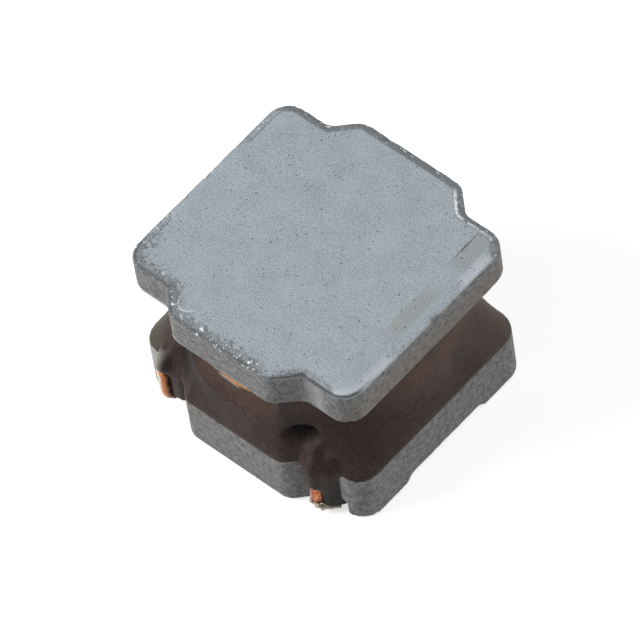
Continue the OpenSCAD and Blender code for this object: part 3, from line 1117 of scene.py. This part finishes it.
def makeResidue():
    random.seed(residue["seed"])
    corners = [Vector(corner) * mm for corner in residue["path"]]
    blobs = []
    for index in range(residue["count"]):
        size = random.uniform(*residue["size"])
        along = 2 * index / residue["count"]
        leg = int(along)
        place = corners[leg].lerp(corners[leg + 1], along - leg)
        place += Vector([random.uniform(-1, 1) * residue["scatter"] for _ in range(3)])
        place.z = max(place.z, size)
        deselectAll()
        bpy.ops.mesh.primitive_ico_sphere_add(subdivisions=2, radius=size, location=place)
        blob = bpy.context.object
        applyPlace(blob)
        blobs.append(blob)
    obj = joinAll("fluxResidue", blobs)
    fuse(obj, residue["voxel"], 1)
    for vertex in obj.data.vertices:
        vertex.co += Vector((0, 0, 1)) * noise.noise(vertex.co / mm * 9) * residue["unevenness"]
        vertex.co.z = max(vertex.co.z, 0.002 * mm)
    dress(obj, residueMaterial())
    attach(obj, "root")
    print("flux residue:", len(obj.data.polygons), "faces")


def residueMaterial():
    material, tree, shader = newMaterial("fluxResidue")
    place = scaledCoordinates(tree)
    patchy = noiseValue(place, 14, 4, 0.7)
    colour = mixColour(remapValue(patchy, 0.4, 0.6), residue["dark"], residue["light"])
    tree.links.new(colour, shader.inputs["Base Color"])
    shader.inputs["Roughness"].default_value = residue["roughness"]
    bumpFrom(shader, patchy, 0.01 * mm, 0.8)
    return material


# the terminals keep their CAD form and get their finish here

terminal = {
    "light": linear(214, 214, 210),
    "dark": linear(180, 180, 176),
    "roughness": 0.4,
}


def tinMaterial(name, light, dark, roughness, grain):
    material, tree, shader = newMaterial(name)
    place = scaledCoordinates(tree)
    patchy = noiseValue(place, grain, 4, 0.6)
    colour = mixColour(remapValue(patchy, 0.35, 0.65), dark, light)
    tree.links.new(colour, shader.inputs["Base Color"])
    shader.inputs["Metallic"].default_value = 0.9
    shader.inputs["Roughness"].default_value = roughness
    bumpFrom(shader, patchy, 0.01 * mm, 0.6)
    return material


def finishTerminals():
    plating = tinMaterial("tinPlating", terminal["light"], terminal["dark"], terminal["roughness"], 6)
    for node in ("terminal_left", "terminal_right"):
        obj = bpy.data.objects[node]
        obj.data.materials.clear()
        obj.data.materials.append(plating)
    print("terminals finished")


# stage, light and camera

stage = {
    "floorSize": 400 * mm,
    "floorLift": 0.62,
    "worldStrength": 0.18,
    "viewAzimuth": 49.02,
    "viewElevation": 54.87,
    "viewRoll": -9.75,
    "viewDistance": 181.4 * mm,
    "lens": 500,
    "aimRight": -0.329 * mm,
    "aimUp": 1.033 * mm,
    "lampDistance": 60 * mm,
    "frontPower": 0.034,
    "sidePower": 0.014,
    "overheadPower": 0.006,
}


def seenDirectly(tree):
    # 1 for the camera's own rays and for mirrored ones, 0 for light that falls on the part
    path = addNode(tree, "ShaderNodeLightPath")
    return most(path.outputs["Is Camera Ray"],
                most(path.outputs["Is Glossy Ray"], path.outputs["Is Transmission Ray"]))


def directionTo(azimuth, elevation):
    a, e = math.radians(azimuth), math.radians(elevation)
    return Vector((math.sin(a) * math.cos(e), -math.cos(a) * math.cos(e), math.sin(e)))


def makeFloor():
    deselectAll()
    bpy.ops.mesh.primitive_plane_add(size=stage["floorSize"], location=(0, 0, 0))
    floor = bpy.context.object
    floor.name = "floor"
    material, tree, shader = newMaterial("floor")
    shader.inputs["Base Color"].default_value = (0.6, 0.6, 0.6, 1)
    shader.inputs["Roughness"].default_value = 1
    shader.inputs["Specular IOR Level"].default_value = 0
    shader.inputs["Emission Color"].default_value = (1, 1, 1, 1)
    lift = times(seenDirectly(tree), stage["floorLift"])
    tree.links.new(lift, shader.inputs["Emission Strength"])
    floor.data.materials.append(material)


def makeWorld():
    world = bpy.data.worlds.new("studio")
    bpy.context.scene.world = world
    world.use_nodes = True
    tree = world.node_tree
    tree.nodes.clear()
    output = addNode(tree, "ShaderNodeOutputWorld")
    background = addNode(tree, "ShaderNodeBackground")
    strength = remapValue(seenDirectly(tree), 0, 1, stage["worldStrength"], 1.0)
    tree.links.new(strength, background.inputs["Strength"])
    background.inputs["Color"].default_value = (1, 1, 1, 1)
    tree.links.new(background.outputs[0], output.inputs[0])


def addLamp(name, azimuth, elevation, size, power):
    back = directionTo(azimuth, elevation)
    data = bpy.data.lights.new(name, "AREA")
    data.shape = "DISK"
    data.size = size
    data.energy = power
    lamp = bpy.data.objects.new(name, data)
    lamp.location = back * stage["lampDistance"]
    lamp.rotation_mode = "QUATERNION"
    lamp.rotation_quaternion = (-back).to_track_quat("-Z", "Y")
    bpy.context.collection.objects.link(lamp)


def makeCamera():
    back = directionTo(stage["viewAzimuth"], stage["viewElevation"])
    turn = (-back).to_track_quat("-Z", "Y") @ Quaternion((0, 0, 1), math.radians(stage["viewRoll"]))
    data = bpy.data.cameras.new("camera")
    data.lens = stage["lens"]
    data.clip_start, data.clip_end = 0.01, 2
    camera = bpy.data.objects.new("camera", data)
    camera.rotation_mode = "QUATERNION"
    camera.rotation_quaternion = turn
    camera.location = back * stage["viewDistance"] + turn @ Vector((stage["aimRight"], stage["aimUp"], 0))
    bpy.context.collection.objects.link(camera)
    bpy.context.scene.camera = camera


makeCamera()
makeFloor()
makeWorld()
addLamp("frontLamp", -42, 34, 36 * mm, stage["frontPower"])
addLamp("sideLamp", 122, 34, 36 * mm, stage["sidePower"])
addLamp("overheadLamp", 150, 68, 26 * mm, stage["overheadPower"])
bpy.context.scene.view_settings.view_transform = "Standard"
makeCore()
makeWinding()
makeResin()
makeSolder()
makeResidue()
finishTerminals()
